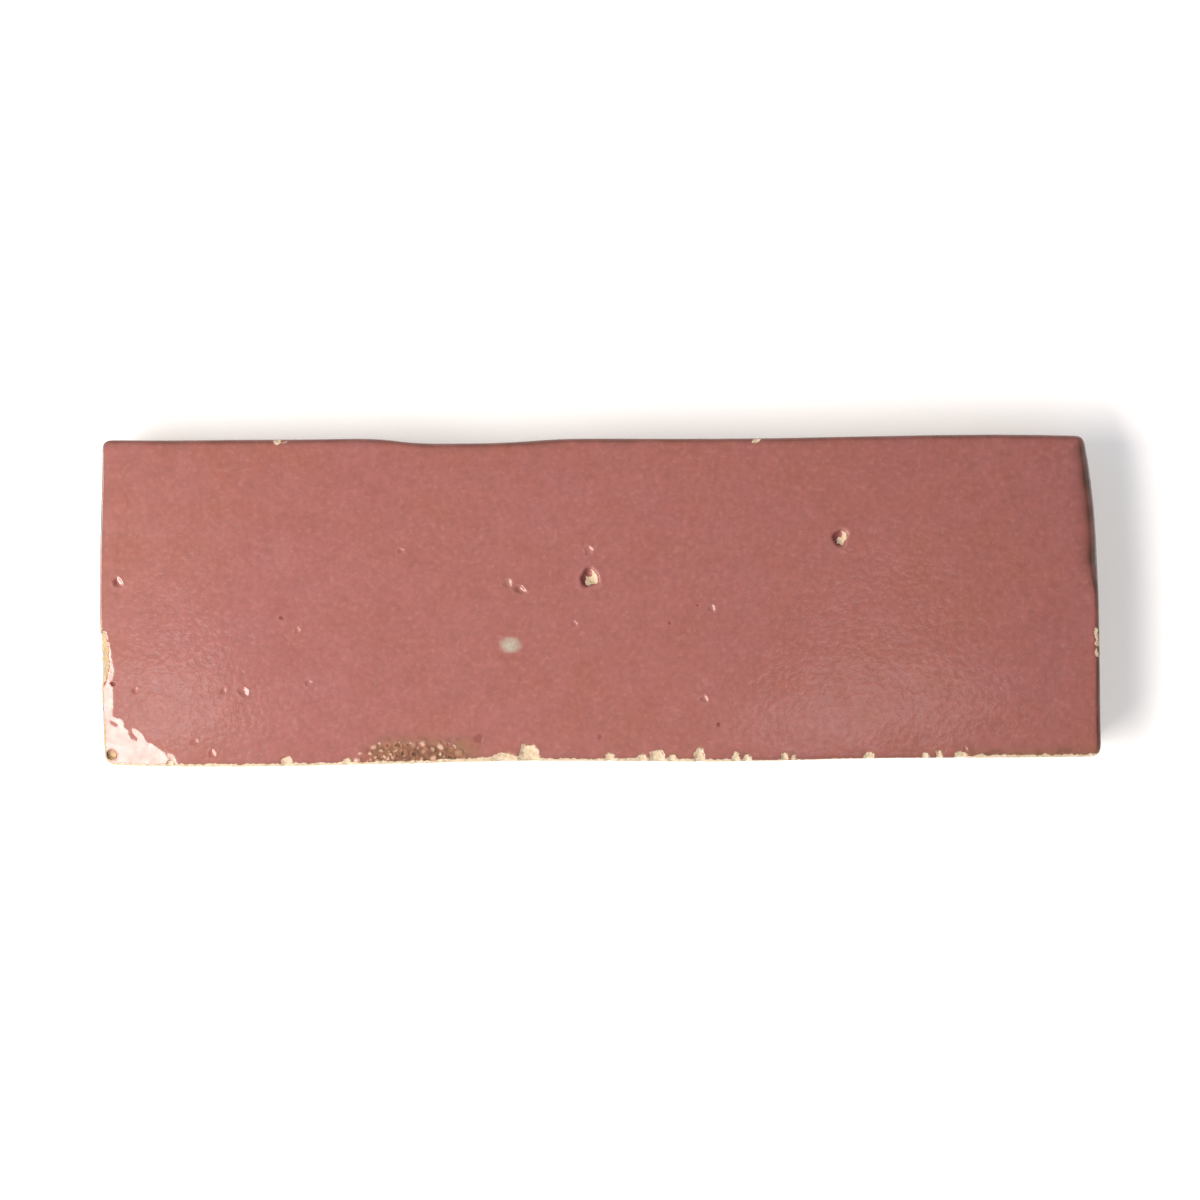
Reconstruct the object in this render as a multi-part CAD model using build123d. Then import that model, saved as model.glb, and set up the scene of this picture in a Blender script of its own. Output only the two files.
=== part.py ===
# Zellige tile: a hand-cut brick-format tile of fired earthenware, glazed on its upper face.
# The tile is one fired piece. It lies on its bare back, with the glazed face up.
# Origin: middle of the back. +X runs along the tile, +Y across it, +Z up through the glaze.
# All lengths are in millimetres.

import os
from math import cos, exp, hypot, pi, radians, sin, tan

from build123d import *

# Format of the tile, over its widest points
TILE_LENGTH = 150.0
TILE_WIDTH = 49.2
TILE_THICKNESS = 11.0

# Section of the flanks: a straight land under the glaze, then a bevel in towards the back
LAND_HEIGHT = 4.0
BACK_BEVEL_DEG = 9.0
GLAZE_ARRIS_RADIUS = 0.6
TRIM_ALLOWANCE = 2.0

# Outline: how far each point of an edge lies inside the format, with its station as a share of the edge
FRONT_EDGE = [(-0.33, 0.0), (-0.04, 0.5), (0.12, 0.2), (0.27, 0.5), (0.4, 0.45)]
RIGHT_EDGE = [(-0.3, 0.1), (0.02, 0.25), (0.3, 0.95)]
BACK_EDGE = [
    (0.39, 0.25),
    (0.2, 0.5),
    (0.03, 0.45),
    (-0.05, 0.5),
    (-0.09, 0.85),
    (-0.155, 0.95),
    (-0.19, 0.75),
    (-0.215, 0.3),
    (-0.26, 0.15),
    (-0.36, 0.15),
]
LEFT_EDGE = [(0.33, 0.32), (0.2, 0.08), (0.1, 0.0), (-0.2, 0.0), (-0.32, 0.18)]

# Corners, as (inset from the end, inset from the long edge, radius in plan)
FRONT_LEFT_CORNER = (0.35, 0.35, 1.5)
FRONT_RIGHT_CORNER = (0.0, 0.5, 1.3)
BACK_RIGHT_CORNER = (2.3, 0.55, 1.0)
BACK_LEFT_CORNER = (0.45, 0.0, 1.0)

# The uneven face: a slow swell along the tile, falling away to its edges and one dipped corner
SWELL_HEIGHT = 0.3
SWELL_LENGTH = 95.0
SWELL_CREST = 24.0
LONG_EDGE_FALL = 0.35
END_FALL = 0.5
CORNER_DIP = 1.0
CORNER_DIP_REACH = 9.0
FACE_MARGIN = 6.0
FACE_GRID_COUNT = (31, 13)
FACE_TOLERANCE = 0.0002

# Hammer scars that dress the lower flanks, side by side round the tile and uneven in depth
SCAR_RADIUS = 16.0
SCAR_BITE = 1.0
SCAR_BITE_SPREAD = 0.5
SCAR_BITE_PHASE = 2.4
SCAR_SPACING = 16.0
SCAR_HEIGHT = 1.5

# Chips in the glazed arris, as (share of the edge, length, bite into the face, drop down the flank)
FRONT_CHIPS = [
    (-0.313, 1.5, 0.9, 0.8),
    (-0.072, 3.2, 2.0, 1.3),
    (0.057, 4.0, 1.5, 1.6),
    (0.101, 2.2, 1.8, 1.0),
    (0.189, 1.8, 1.1, 0.9),
    (0.364, 2.6, 1.2, 1.1),
]
LEFT_CHIPS = [(-0.17, 9.0, 1.3, 2.4)]

# Burst blisters in the glaze, as (share of the length, share of the width, radius of the mouth)
BLISTERS = [
    (-0.482, 0.065, 0.6),
    (-0.092, 0.053, 0.6),
    (-0.078, 0.028, 0.6),
    (-0.009, 0.067, 1.3),
    (0.241, 0.183, 1.1),
    (-0.49, -0.463, 0.75),
]
BLISTER_DEPTH_SHARE = 0.55


def face_outline(lean=0.0):
    """The tile's outline drawn in by lean: one free line for each edge, rounded where they meet."""
    half_length, half_width = TILE_LENGTH / 2 - lean, TILE_WIDTH / 2 - lean

    def corner(side_x, side_y, insets):
        end_inset, long_inset, _ = insets
        return side_x * (half_length - end_inset), side_y * (half_width - long_inset), 0

    front_left = corner(-1, -1, FRONT_LEFT_CORNER)
    front_right = corner(1, -1, FRONT_RIGHT_CORNER)
    back_right = corner(1, 1, BACK_RIGHT_CORNER)
    back_left = corner(-1, 1, BACK_LEFT_CORNER)
    front = [(share * TILE_LENGTH, inset - half_width, 0) for share, inset in FRONT_EDGE]
    right = [(half_length - inset, share * TILE_WIDTH, 0) for share, inset in RIGHT_EDGE]
    back = [(share * TILE_LENGTH, half_width - inset, 0) for share, inset in BACK_EDGE]
    left = [(inset - half_length, share * TILE_WIDTH, 0) for share, inset in LEFT_EDGE]
    outline = make_face(
        [
            Spline(front_left, *front, front_right),
            Spline(front_right, *right, back_right),
            Spline(back_right, *back, back_left),
            Spline(back_left, *left, front_left),
        ]
    )
    for point, (_, _, radius) in (
        (front_left, FRONT_LEFT_CORNER),
        (front_right, FRONT_RIGHT_CORNER),
        (back_right, BACK_RIGHT_CORNER),
        (back_left, BACK_LEFT_CORNER),
    ):
        outline = fillet(outline.vertices().sort_by_distance(point)[0], radius)
    return outline


def face_height(x, y):
    """Height of the glazed face over the back."""
    swell = SWELL_HEIGHT * (1 - cos(2 * pi * (x - SWELL_CREST) / SWELL_LENGTH)) / 2
    edge_fall = LONG_EDGE_FALL * (2 * y / TILE_WIDTH) ** 4
    end_fall = END_FALL * (2 * x / TILE_LENGTH) ** 6
    from_corner = hypot(x + TILE_LENGTH / 2, y + TILE_WIDTH / 2)
    dip = CORNER_DIP * exp(-((from_corner / CORNER_DIP_REACH) ** 2))
    return TILE_THICKNESS - swell - edge_fall - end_fall - dip


def clay_blank():
    """The cut clay before its face is trimmed: a straight land over flanks that lean in to the back."""
    land_foot = TILE_THICKNESS - LAND_HEIGHT
    lean = tan(radians(BACK_BEVEL_DEG)) * land_foot
    widest = Pos(0, 0, land_foot) * face_outline()
    land = extrude(widest, amount=LAND_HEIGHT + TRIM_ALLOWANCE)
    bevel = loft([face_outline(lean), widest], ruled=True)
    return bevel + land


def above_face():
    """Everything over the uneven face, to be cut from the blank."""
    columns, rows = FACE_GRID_COUNT
    span_x, span_y = TILE_LENGTH + 2 * FACE_MARGIN, TILE_WIDTH + 2 * FACE_MARGIN
    grid = []
    for column in range(columns):
        x = span_x * (column / (columns - 1) - 0.5)
        line = []
        for row in range(rows):
            y = span_y * (row / (rows - 1) - 0.5)
            line.append((x, y, face_height(x, y)))
        grid.append(line)
    skin = Face.make_surface_from_array_of_points(grid, tol=FACE_TOLERANCE, min_deg=3, max_deg=8)
    return extrude(skin, amount=TILE_THICKNESS, dir=(0, 0, 1))


def hammer_scars():
    """Shallow round bites along the lower flanks, uneven in depth as hand dressing leaves them."""
    scars = []
    lean = tan(radians(BACK_BEVEL_DEG)) * (TILE_THICKNESS - LAND_HEIGHT - SCAR_HEIGHT)
    for run, reach, turn in ((TILE_LENGTH, TILE_WIDTH / 2, 0), (TILE_WIDTH, TILE_LENGTH / 2, 90)):
        count = round(run / SCAR_SPACING)
        for side in (-1, 1):
            for number in range(count):
                along = run * ((number + 0.5) / count - 0.5)
                bite = SCAR_BITE - SCAR_BITE_SPREAD * (1 + sin(SCAR_BITE_PHASE * number + side + turn)) / 2
                out = side * (reach - lean + SCAR_RADIUS - bite)
                scars.append(Rot(0, 0, turn) * Pos(along, out, SCAR_HEIGHT) * Sphere(SCAR_RADIUS))
    return scars


def edge_inset(edge, start_inset, end_inset, share):
    """How far an edge lies inside the format at a station, between its two nearest points."""
    points = [(-0.5, start_inset), *sorted(edge), (0.5, end_inset)]
    for (share_a, inset_a), (share_b, inset_b) in zip(points, points[1:]):
        if share_a <= share <= share_b:
            return inset_a + (inset_b - inset_a) * (share - share_a) / (share_b - share_a)
    raise ValueError(f"station {share} is off the edge")


def edge_chip(length, bite, drop):
    """A round flake and how far its middle lies out from the arris and up over it."""
    out = (length**2 / 4 - bite**2) / (2 * bite)
    up = (length**2 / 4 - drop**2) / (2 * drop)
    return out, up, Sphere((length**2 / 4 + out**2 + up**2) ** 0.5)


def chips():
    """Flakes struck from the glazed arris, down to the bare clay."""
    cuts = []
    for share, length, bite, drop in FRONT_CHIPS:
        out, up, flake = edge_chip(length, bite, drop)
        x = share * TILE_LENGTH
        y = edge_inset(FRONT_EDGE, FRONT_LEFT_CORNER[1], FRONT_RIGHT_CORNER[1], share) - TILE_WIDTH / 2
        cuts.append(Pos(x, y - out, face_height(x, y) + up) * flake)
    for share, length, bite, drop in LEFT_CHIPS:
        out, up, flake = edge_chip(length, bite, drop)
        x = edge_inset(LEFT_EDGE, FRONT_LEFT_CORNER[0], BACK_LEFT_CORNER[0], share) - TILE_LENGTH / 2
        y = share * TILE_WIDTH
        cuts.append(Pos(x - out, y, face_height(x, y) + up) * flake)
    return cuts


def blisters():
    """Burst bubbles in the glaze, each a shallow round pit."""
    cuts = []
    for share_x, share_y, mouth in BLISTERS:
        x, y = share_x * TILE_LENGTH, share_y * TILE_WIDTH
        depth = BLISTER_DEPTH_SHARE * mouth
        radius = (mouth**2 + depth**2) / (2 * depth)
        cuts.append(Pos(x, y, face_height(x, y) + radius - depth) * Sphere(radius))
    return cuts


def zellige_tile():
    """The finished tile, set down with the middle of its back on the origin."""
    tile = clay_blank() - above_face()
    glazed_face = tile.faces().sort_by(Axis.Z)[-1]
    tile = fillet(glazed_face.edges(), GLAZE_ARRIS_RADIUS)
    tile = tile - hammer_scars() - chips() - blisters()
    box = tile.bounding_box()
    return Pos(-box.center().X, -box.center().Y, -box.min.Z) * tile


os.makedirs("parts", exist_ok=True)
export_step(zellige_tile(), "parts/zellige_tile.step")
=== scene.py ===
"""Looks of a hand-cut zellige tile: a wavy pink glaze, chipped arrises and rough flanks of bare clay."""

import math
from types import SimpleNamespace

import bpy
import numpy as np
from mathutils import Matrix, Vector, kdtree, noise
from mathutils.bvhtree import BVHTree
from mathutils.geometry import delaunay_2d_cdt


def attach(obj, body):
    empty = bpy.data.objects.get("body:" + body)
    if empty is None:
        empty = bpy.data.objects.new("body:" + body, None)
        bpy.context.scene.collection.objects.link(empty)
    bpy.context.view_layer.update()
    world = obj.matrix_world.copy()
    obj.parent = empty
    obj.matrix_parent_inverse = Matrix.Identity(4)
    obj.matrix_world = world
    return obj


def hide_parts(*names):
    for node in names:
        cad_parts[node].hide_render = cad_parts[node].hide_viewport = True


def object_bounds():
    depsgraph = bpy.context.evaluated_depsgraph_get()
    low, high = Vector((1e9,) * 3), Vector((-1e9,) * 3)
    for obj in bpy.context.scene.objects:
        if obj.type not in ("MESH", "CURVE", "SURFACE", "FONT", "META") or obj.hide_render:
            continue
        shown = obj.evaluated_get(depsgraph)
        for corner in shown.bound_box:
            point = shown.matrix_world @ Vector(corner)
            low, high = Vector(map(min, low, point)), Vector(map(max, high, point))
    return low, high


bl_info = {
    "name": "Zellige Tile",
    "version": (1, 0, 0),
    "blender": (4, 5, 0),
    "location": "View3D > Sidebar > Zellige Tile",
    "description": "Builds one glazed, hand-cut zellige tile over its CAD solid",
    "category": "Object",
}

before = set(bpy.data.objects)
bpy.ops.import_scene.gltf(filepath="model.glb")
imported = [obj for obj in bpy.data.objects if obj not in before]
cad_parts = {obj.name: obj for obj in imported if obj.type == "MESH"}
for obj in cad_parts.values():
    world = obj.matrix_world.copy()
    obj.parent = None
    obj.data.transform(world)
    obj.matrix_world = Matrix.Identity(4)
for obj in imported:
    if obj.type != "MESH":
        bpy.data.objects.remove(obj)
CAD_LOW, CAD_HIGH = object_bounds()

NODE = "zellige_tile"
BODY = "root"
MM = 0.001

# Size of the CAD solid. Lengths here and below are in millimetres, unless the words say otherwise.
HALF_LENGTH = (CAD_HIGH.x - CAD_LOW.x) / 2 / MM
HALF_WIDTH = (CAD_HIGH.y - CAD_LOW.y) / 2 / MM
THICKNESS = (CAD_HIGH.z - CAD_LOW.z) / MM

# Rim of the CAD solid, met by level rays that start from a box inside it
RAY_BOX_INSET = 10.0
RAY_STEP = 0.1
CORNER_RAYS = 220
RIM_HEIGHTS = (8.0, 8.6, 9.1, 9.5, 9.8)
RIM_STEPS = 1600
RIM_BLUR = 2
LAND_FOOT = 7.5

# Outward ways of the four sides, in the order front, right, back, left
SIDE_WAYS = ((0, -1), (1, 0), (0, 1), (-1, 0))

# Each side's number in that order, and the axis that it runs along
CHIP_SIDES = {"front": (0, 0), "right": (1, 1), "back": (2, 0), "left": (3, 1)}

# Rows of points from the face round the arris and down the flank to the foot
ARRIS_ROWS = 8
ARRIS_TURN_DEG = 84
FLANK_ROWS = 16
GLAZED_FLANK_ROWS = 9
FLANK_DROP = 0.25
FOOT_HEIGHT = 0.45
FOOT_INSET = 0.4
FOOT_SLOPE = 0.6

# Points on the face: their spacing where it is frothy, busy or calm, how far from the rim and the sunken
# corner it is busy, and the room that is left beside the rim
FROTHY_STEP, BUSY_STEP, CALM_STEP = 0.14, 0.3, 0.62
TRIANGLE_ROW = 0.866
BUSY_RIM = 3.2
BUSY_CORNER = 10.5
RIM_ROOM = 0.14

# Rings of points round a blister and the room for them, as shares of its mouth
RING_SHARES = (0.3, 0.55, 0.75, 0.9, 1.0, 1.12, 1.3, 1.6)
RINGS_ROOM = 1.75

# Points on the back: their spacing, and how far they reach along and across the tile
BACK_STEP = 2.5
BACK_GRID = (70.0, 20.0)

# Relief of the face: room under the top of the CAD box, and lumps as (height, size, seed)
FACE_ROOM = 0.06
LUMPS = ((0.05, 18.0, 1), (0.012, 6.0, 2))

# Sunken front left corner: a point on its fold, the way it falls from there, its run and its ragged edge
CORNER_FOLD = (-73.0, -17.3)
CORNER_WAY = (-0.557, -0.831)
CORNER_RUN = 6.9
CORNER_RAGGED = ((0.9, 1.9, 4), (0.25, 0.7, 5))

# Rolled strip along the left end: where it starts, and the stations between which it fades out
ROLL_START = 0.1
ROLL_FADE = (-9.5, -2.5)

# Froth of boiled glaze beside the front edge: where it sets in and stops along the tile, how it thins out in
# from the edge, as where that starts and ends at the tips of the patch and how much further in at its
# middle, and a middle, a reach and a depth that hold all of it
FROTH_START = (-37.5, -33.5)
FROTH_STOP = (-23.5, -19.0)
FROTH_FADE = ((1.2, 1.2), (2.2, 1.4))
FROTH_MIDDLE = -28.0
FROTH_REACH = 11.0
FROTH_DEPTH = 5.0

# Golden glaze round the froth, in the same form, and its fainter strip at the front right
GOLDEN_START = (-38.0, -32.0)
GOLDEN_STOP = (-21.0, -16.0)
GOLDEN_FADE = ((1.0, 1.5), (3.0, 2.3))
STRIP_START = (52.0, 57.0)
STRIP_FADE = (1.0, 2.6)
STRIP_SHARE = 0.55

# Bubbles of the froth: how many are tried, how far in from the edge, the radius of the smallest, how much
# larger the largest is, how pale they are, and how often one has burst
BUBBLE_SEED = 7
BUBBLE_TRIES = 420
BUBBLE_BAND = (0.1, 3.6)
BUBBLE_RADIUS = 0.24
BUBBLE_GROWTH = 0.34
BUBBLE_PALE = (0.2, 1.0)
BURST_EVERY = 3

# Golden glaze that rims the chips at the front: how strong it is, and how wide
CHIP_RIM_SHARE = 0.6
CHIP_RIM_WIDTH = 0.6

# Dry white spot on the face
CHALK_SPOT = (-13.5, -6.6)
CHALK_RADII = (1.7, 1.25)

# Heights over the back: the face and its arris lie over the first, and loose grains between the others
FACE_FLOOR = 9.0
GRAIN_LOW, GRAIN_HIGH = 0.8, 6.5

# Stations between which the glaze changes down the right and the left end, and from which it has run down
RIGHT_CHANGE = (-6.0, 0.0)
LEFT_CHANGE = (-4.0, 2.0)
DRIPS_FROM = -2.0
LONGEST_DRIP = 5.0

# How far the glaze reaches past the start of the arris, and how much less at the lower right
RIGHT_GLAZE, BACK_GLAZE, LEFT_GLAZE = 2.2, 1.3, 1.2
LOWER_RIGHT_LESS = 1.5

# Brown of thinned glaze along the front, right, back and left. It is strongest on the right and the back,
# where it is also painted shade of the edges that face away from the window lamp: how wide it is, how far it
# shows, and how much narrower it is at the lower right
THIN_WIDTHS = (0.25, 0.8, 0.3, 0.2)
THIN_SHARES = (0.35, 0.9, 0.55, 0.2)
LOWER_RIGHT_NARROWER = 0.6

# A margin for points that lie far outside the glaze
OUTSIDE = -9.0

# Stage, in metres and watts: lamps as (name, place, size, power, colour)
LAMPS = [
    ("window", (-0.32, -0.15, 0.39), (0.5, 0.25), 4.2, "fff6ec"),
    ("sky", (0.118, -0.095, 1.2), (0.14, 0.1), 0.056, "ecf0f2"),
    ("door", (-0.2, -0.08, 1.2), (0.1, 0.1), 0.06, "eaeef6"),
]
FLOOR_REACH = 2.0
FLOOR_GLOW = 0.25
ROOM_COLOUR = "f0f0f2"
ROOM_STRENGTH, CEILING_STRENGTH = 0.7, 0.08
CEILING_START, CEILING_FULL = 0.75, 0.92
CAMERA_HEIGHT = 0.81
CAMERA_TURN_DEG = -0.45
CAMERA_LENS_MM = 160

# Chips in the arris, as (side, station along it, length, bite into the face, drop down the flank)
CHIPS = [
    ("front", -64.6, 1.0, 0.7, 0.6),
    ("front", -47.2, 1.4, 1.0, 0.8),
    ("front", -38.2, 1.0, 0.7, 0.6),
    ("front", -14.6, 3.4, 0.9, 0.9),
    ("front", -11.0, 3.0, 2.2, 1.3),
    ("front", 1.2, 1.3, 1.0, 0.8),
    ("front", 6.0, 1.4, 0.7, 0.8),
    ("front", 8.3, 2.4, 1.2, 1.4),
    ("front", 10.6, 1.1, 0.7, 0.8),
    ("front", 14.6, 1.5, 1.65, 1.0),
    ("front", 20.1, 1.1, 0.95, 0.8),
    ("front", 21.8, 1.2, 0.75, 0.8),
    ("front", 27.5, 0.9, 0.8, 0.7),
    ("front", 28.7, 0.6, 0.5, 0.6),
    ("front", 40.1, 1.6, 0.65, 0.7),
    ("front", 48.6, 1.1, 0.55, 0.6),
    ("front", 50.6, 0.9, 0.7, 0.7),
    ("front", 53.9, 1.9, 0.65, 0.9),
    ("left", -8.0, 7.6, 0.85, 2.4),
    ("right", -5.9, 1.7, 0.3, 0.5),
    ("right", -8.2, 2.1, 0.2, 0.5),
    ("back", -47.9, 1.5, 0.22, 0.5),
    ("back", 23.8, 1.2, 0.2, 0.5),
]

# Where the glaze stops along the front, as (x, distance past the start of the arris)
FRONT_GLAZE_END = [
    (-75, -0.05),
    (-66, -0.1),
    (-50, -0.15),
    (-36, -0.1),
    (-24, -0.15),
    (-19, -0.3),
    (-13, -0.5),
    (-8, -0.1),
    (0, -0.1),
    (6, -0.2),
    (20, -0.1),
    (25, 0.25),
    (53, 0.25),
    (57, -0.15),
    (75, -0.1),
]

# Burst blisters, pinholes and iron specks in the glaze, as
# (x, y, mouth radius, stretch, turn in degrees, depth, share of the mouth that is bare, iron tint;
# wide deep mouths get that tint only on their left wall, as painted shade)
BLISTERS = [
    (-72.3, 3.2, 0.78, 1.0, 0, 0.22, 0.0, 0.7),
    (-13.9, 2.6, 0.65, 1.3, -50, 0.18, 0.0, 0.0),
    (-12.0, 1.65, 0.65, 1.5, -30, 0.3, 0.0, 0.4),
    (-1.5, 3.35, 1.3, 1.2, 10, 0.7, 0.8, 0.85),
    (36.1, 9.05, 1.05, 1.4, 70, 0.6, 0.75, 0.8),
    (-73.6, -22.7, 0.75, 1.0, 0, 0.8, 1.0, 0.3),
    (-73.1, -12.0, 0.4, 1.0, 0, 0.25, 0.0, 0.9),
    (-29.8, 7.6, 0.5, 1.0, 0, 0.14, 0.0, 0.0),
    (-1.6, 7.4, 0.7, 1.0, 0, 0.19, 0.0, 0.0),
    (-3.9, -3.5, 0.5, 1.0, 0, 0.13, 0.0, 0.0),
    (16.7, -1.4, 0.6, 1.0, 0, 0.16, 0.0, 0.0),
    (-53.5, -13.4, 0.75, 1.0, 0, 0.21, 0.0, 0.0),
    (-43.8, -12.1, 0.5, 1.0, 0, 0.14, 0.0, 0.0),
    (-45.4, -4.2, 0.5, 1.0, 0, 0.14, 0.0, 0.0),
    (-61.0, -20.8, 0.55, 1.2, 30, 0.14, 0.0, 0.0),
    (-69.8, -13.0, 0.5, 1.0, 0, 0.13, 0.0, 0.0),
    (17.6, -18.8, 0.4, 1.0, 0, 0.02, 0.0, 0.8),
    (54.6, -22.8, 0.4, 1.0, 0, 0.13, 0.0, 0.0),
    (-47.8, -2.3, 0.4, 1.0, 0, 0.02, 0.0, 0.7),
    (-0.2, -20.5, 0.45, 1.2, 60, 0.02, 0.0, 0.5),
    (-18.4, -20.6, 0.8, 1.1, 0, 0.03, 0.0, 0.45),
    (15.5, -14.9, 0.6, 1.0, 0, 0.16, 0.0, 0.0),
    (14.6, -0.9, 0.3, 1.0, 0, 0.02, 0.0, 0.6),
    (10.4, -3.5, 0.35, 1.0, 0, 0.02, 0.0, 0.6),
    (-56.6, -13.2, 0.45, 1.4, 40, 0.1, 0.0, 0.2),
    (-58.3, -22.6, 0.6, 1.0, 0, 0.15, 0.0, 0.0),
]

# Mouths wider and deeper than the first two are tinted only on their left wall, the wall that faces away
# from the window lamp, as painted shade; those narrower than the next two are dull and duller, and those
# wider than the last keep a tongue of glaze inside
PAINTED_SHADE_MOUTH = 0.6
PAINTED_SHADE_DEPTH = 0.1
DULL_MOUTH = 0.75
DULLEST_MOUTH = 0.6
TONGUE_MOUTH = 1.0


def linear(hex_colour):
    """Linear RGBA of an sRGB hex colour."""
    channels = [int(hex_colour[start : start + 2], 16) / 255 for start in (0, 2, 4)]
    return [c / 12.92 if c <= 0.04045 else ((c + 0.055) / 1.055) ** 2.4 for c in channels] + [1.0]


def length_property(name, description, size_mm):
    """A length that a user can change, with its default in millimetres."""
    return bpy.props.FloatProperty(
        name=name, description=description, default=size_mm * MM, unit="LENGTH", precision=5
    )


def colour_property(name, description, hex_colour):
    """A colour that a user can change, with its default in sRGB hex."""
    return bpy.props.FloatVectorProperty(
        name=name,
        description=description,
        default=linear(hex_colour),
        size=4,
        min=0,
        max=1,
        subtype="COLOR",
    )


class ZelligeForm(bpy.types.PropertyGroup):
    """Lengths that shape the glazed face and its rim."""

    swell_height: length_property("Swell height", "Height of the slow swell along the face", 0.3)
    swell_length: length_property("Swell length", "Distance between crests of the swell", 95.0)
    swell_crest: length_property("Swell crest", "Where along the tile the swell is highest", 24.0)
    long_edge_fall: length_property("Long edge fall", "How far the face falls to its long edges", 0.35)
    end_fall: length_property("End fall", "How far the face falls to its ends", 0.5)
    corner_fall: length_property("Corner fall", "How far the sunken front left corner lies down", 1.7)
    roll_fall: length_property("Roll fall", "How far the rolled strip along the left edge falls", 0.38)
    roll_width: length_property("Roll width", "Width of the rolled strip along the left edge", 1.8)
    front_arris: length_property("Front arris", "Radius of the worn arris at the front", 0.3)
    right_arris: length_property("Right arris", "Radius of the arris at the right end", 1.0)
    back_arris: length_property("Back arris", "Radius of the arris at the back", 0.42)
    left_arris: length_property("Left arris", "Radius of the arris at the left end", 0.3)


class ZelligeColours(bpy.types.PropertyGroup):
    """Colours of the glaze, the clay and the floor."""

    glaze: colour_property("Glaze", "Body colour of the glaze", "985c54")
    warm_glaze: colour_property("Warm glaze", "Warmer clouds in the glaze", "985b4b")
    cool_glaze: colour_property("Cool glaze", "Cooler clouds in the glaze", "995d5e")
    # Thinned glaze at the edges, and painted shade along the right and back edges
    thin_glaze_and_shade: colour_property("Thin glaze", "The glaze where it runs thin at an edge", "4e3024")
    golden_glaze: colour_property("Golden glaze", "Glaze that boiled or ran thin at the front", "8c6248")
    froth_crest: colour_property("Froth crests", "Bubbles that stand up in the boiled glaze", "c8a894")
    froth_pit: colour_property("Froth pits", "Gaps between the bubbles of the boiled glaze", "5c4030")
    fleck: colour_property("Flecks", "Pale flecks in the glaze", "e0b4aa")
    chalk: colour_property("Chalk", "The dry white spot on the face", "a8a294")
    fresh: colour_property("Fresh clay", "Freshly broken clay in the chips", "d6c4ac")
    cream: colour_property("Cream clay", "Paler clay of the flanks and back", "c6b096")
    buff: colour_property("Buff clay", "Fired clay of the flanks and back", "b29b76")
    # Iron specks, and painted shade on the left walls of wide deep blisters
    iron: colour_property("Iron", "Iron specks in the glaze", "661e1a")
    floor: colour_property("Floor", "Floor under the tile", "f7f7f9")


def wobble(points, size, seed):
    """Smooth noise from -1 to 1 at points in millimetres, with lumps of about the given size."""
    shift = Vector((seed * 13.1, seed * 7.7, seed * 3.3))
    return np.array([noise.noise(Vector(point) / size + shift) for point in points])


def layered_wobble(points, layers):
    """Smooth noise in layers, each given as (height, size, seed)."""
    return sum(height * wobble(points, size, seed) for height, size, seed in layers)


def soft_ramp(distance, softness):
    """Zero below zero and rising one for one above it, eased over softness."""
    return softness * np.logaddexp(0, distance / softness)


def smooth_step(value, low, high):
    """Zero up to low, one from high on, eased between."""
    share = np.clip((value - low) / (high - low), 0, 1)
    return share * share * (3 - 2 * share)


def bell(distance, width):
    """One at no distance, falling off to zero both ways."""
    return np.exp(-((distance / width) ** 2))


# Rim of the tile, read from the CAD solid


def rim_rays():
    """Starts and directions of level rays that look outwards all round, from a box inside the tile."""
    box = (HALF_LENGTH - RAY_BOX_INSET, HALF_WIDTH - RAY_BOX_INSET)
    corners = np.array([(-1, -1), (1, -1), (1, 1), (-1, 1)]) * box
    starts, ways = [], []
    for number, here in enumerate(corners):
        after = corners[(number + 1) % 4]
        for share in np.linspace(0, 1, CORNER_RAYS, endpoint=False):
            angle = math.pi * (1 + (number + share) / 2)
            starts.append(here)
            ways.append((math.cos(angle), math.sin(angle)))
        angle = math.pi * (1 + (number + 1) / 2)
        for share in np.linspace(0, 1, int(np.hypot(*(after - here)) / RAY_STEP), endpoint=False):
            starts.append(here + (after - here) * share)
            ways.append((math.cos(angle), math.sin(angle)))
    return np.array(starts), np.array(ways)


def flank_reach(solid, starts, ways, heights):
    """How far each level ray runs from its start to the flank at its height."""
    reach = np.zeros(len(starts))
    for number, (start, way, height) in enumerate(zip(starts, ways, heights)):
        hit = solid.ray_cast(Vector((*start, height)) * MM, Vector((*way, 0)))
        if hit[0] is None:
            raise RuntimeError(f"no flank beside {start} at height {height}")
        reach[number] = hit[3] / MM
    return reach


def ring_blur(values):
    """Values round the rim, each eased with its neighbours."""
    weights = np.exp(-0.5 * (np.arange(-3 * RIM_BLUR, 3 * RIM_BLUR + 1) / RIM_BLUR) ** 2)
    padded = np.concatenate([values[-3 * RIM_BLUR :], values, values[: 3 * RIM_BLUR]])
    return np.convolve(padded, weights / weights.sum(), "valid")


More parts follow.
